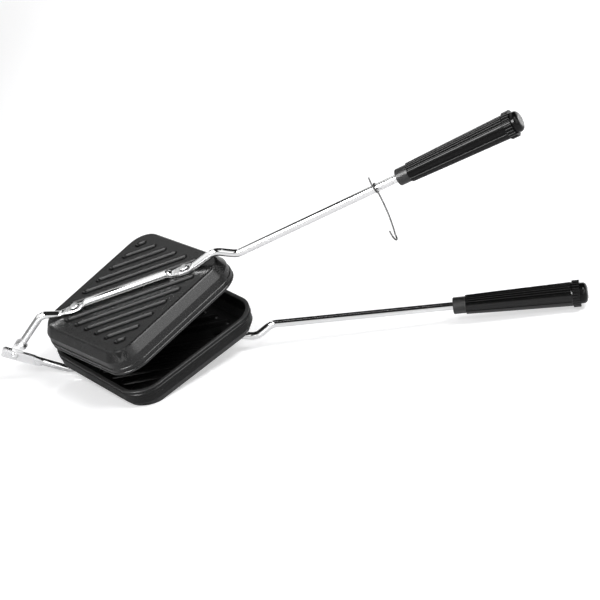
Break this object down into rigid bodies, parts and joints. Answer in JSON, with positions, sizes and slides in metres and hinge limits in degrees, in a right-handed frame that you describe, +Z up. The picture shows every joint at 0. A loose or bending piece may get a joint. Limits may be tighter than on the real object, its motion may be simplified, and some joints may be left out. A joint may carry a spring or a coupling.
{
  "type": "pie iron",
  "caption": "Long-handled toasting iron: two ribbed square pans on bent rod arms, hinged at the far end, with fluted grips and a wire clip that locks the handles.",
  "frame": {"origin": "middle of the bounding box in X and Y, at its lowest point in Z", "axes": "+X runs from the hinge to the grips, +Y is across the pans along the hinge pin, +Z is up, square to the lower pan's level rim"},
  "size_m": [0.4602, 0.1586, 0.1807],
  "materials": {
    "coated_pan": "cast aluminium with a dark grey satin non-stick coating",
    "chromed_rod": "bright chromed steel rod",
    "rivet_steel": "polished steel rivets",
    "grip_plastic": "glossy black moulded plastic",
    "ferrule_plastic": "smooth dark grey moulded ring",
    "plug_grey": "pale grey plug",
    "nut_steel": "zinc plated steel nut, inside the grip",
    "clip_wire": "bright spring wire"
  },
  "bodies": {
    "lower_iron": {"lower_pan": "coated_pan", "lower_arm": "chromed_rod", "lower_rivet_hinge_end": "rivet_steel", "lower_rivet_handle_end": "rivet_steel", "lower_ferrule": "ferrule_plastic", "lower_grip": "grip_plastic", "lower_grip_nut": "nut_steel", "lower_end_cap": "grip_plastic", "lower_end_plug": "plug_grey", "hinge_pin": "rivet_steel"},
    "upper_iron": {"upper_pan": "coated_pan", "upper_arm": "chromed_rod", "upper_rivet_hinge_end": "rivet_steel", "upper_rivet_handle_end": "rivet_steel", "upper_ferrule": "ferrule_plastic", "upper_grip": "grip_plastic", "upper_grip_nut": "nut_steel", "upper_end_cap": "grip_plastic", "upper_end_plug": "plug_grey"},
    "clip": {"wire_clip": "clip_wire"}
  },
  "joints": [
    {"name": "arm_hinge", "type": "hinge", "parent": "lower_iron", "child": "upper_iron", "pos_m": [-0.2199, 0, 0.05609], "axis": [0, -1, 0], "range_deg": [-9, 62.2]},
    {"name": "clip_swing", "type": "hinge", "parent": "upper_iron", "child": "clip", "pos_m": [0.09963, 0, 0.14006], "axis": [0.9641, 0, 0.2656], "continuous": true}
  ]
}
